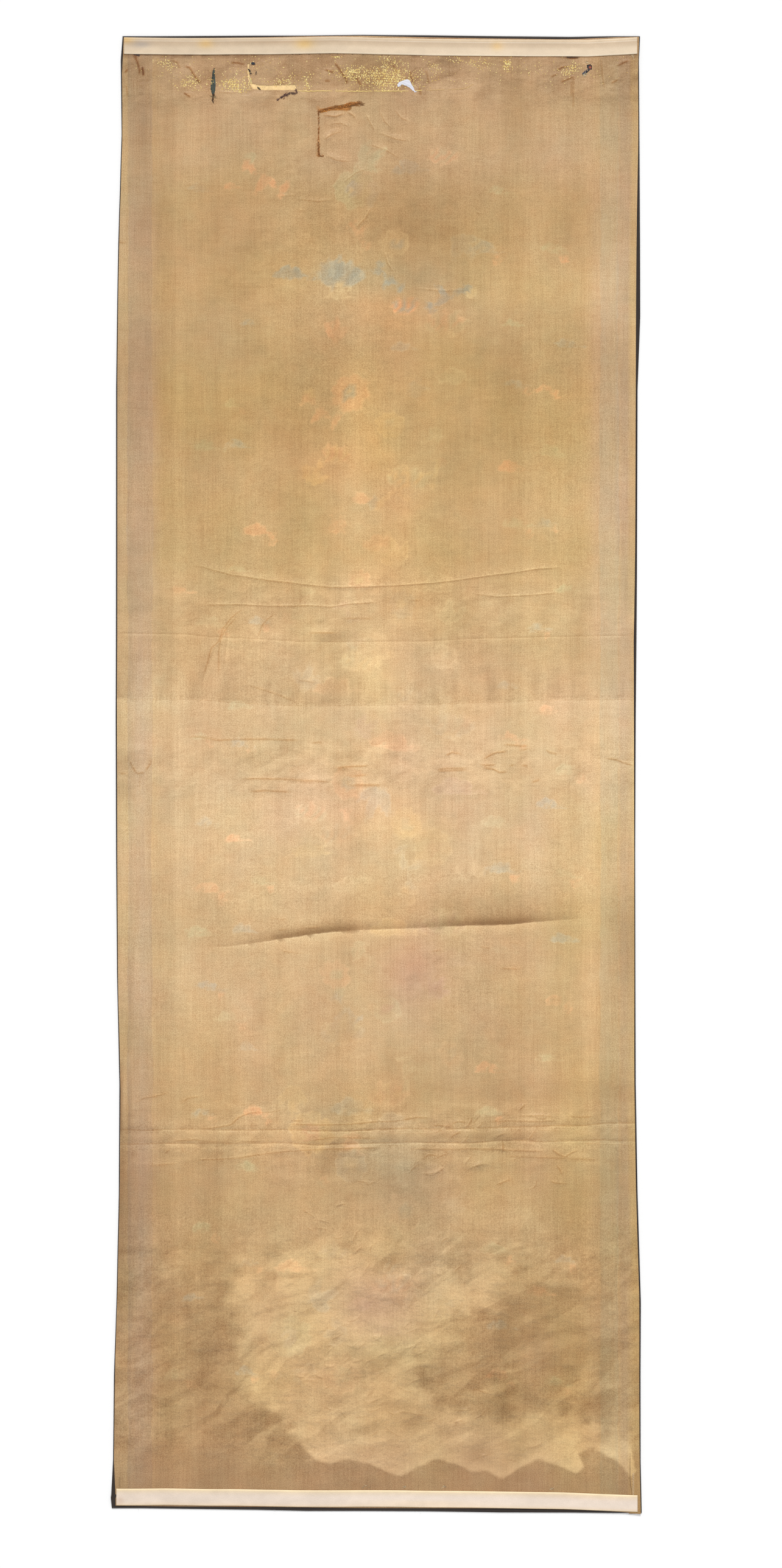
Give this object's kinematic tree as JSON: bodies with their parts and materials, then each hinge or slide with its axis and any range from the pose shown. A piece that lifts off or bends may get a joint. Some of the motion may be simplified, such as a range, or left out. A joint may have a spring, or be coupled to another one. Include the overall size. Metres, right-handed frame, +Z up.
{
  "type": "silk brocade panel",
  "caption": "Long rectangular silk brocade panel with a narrow dark border, a gold satin lining and a woven tape sewn across each end, lying flat with the lining up.",
  "frame": {"origin": "middle of the panel, on the surface that it lies on", "axes": "+Y along the panel towards its top edge, +Z up, away from the surface, out of the lining"},
  "size_m": [0.6408, 1.787, 0.0059],
  "materials": {
    "brocade": "figured silk brocade",
    "border_satin": "black satin",
    "lining_silk": "gold satin with a soft sheen",
    "cotton_tape": "matt woven cotton"
  },
  "bodies": {
    "root": {"brocade_face": "brocade", "border_left": "border_satin", "border_right": "border_satin", "border_top": "border_satin", "border_bottom": "border_satin", "lining": "lining_silk", "tape_top": "cotton_tape", "tape_bottom": "cotton_tape"}
  },
  "joints": []
}
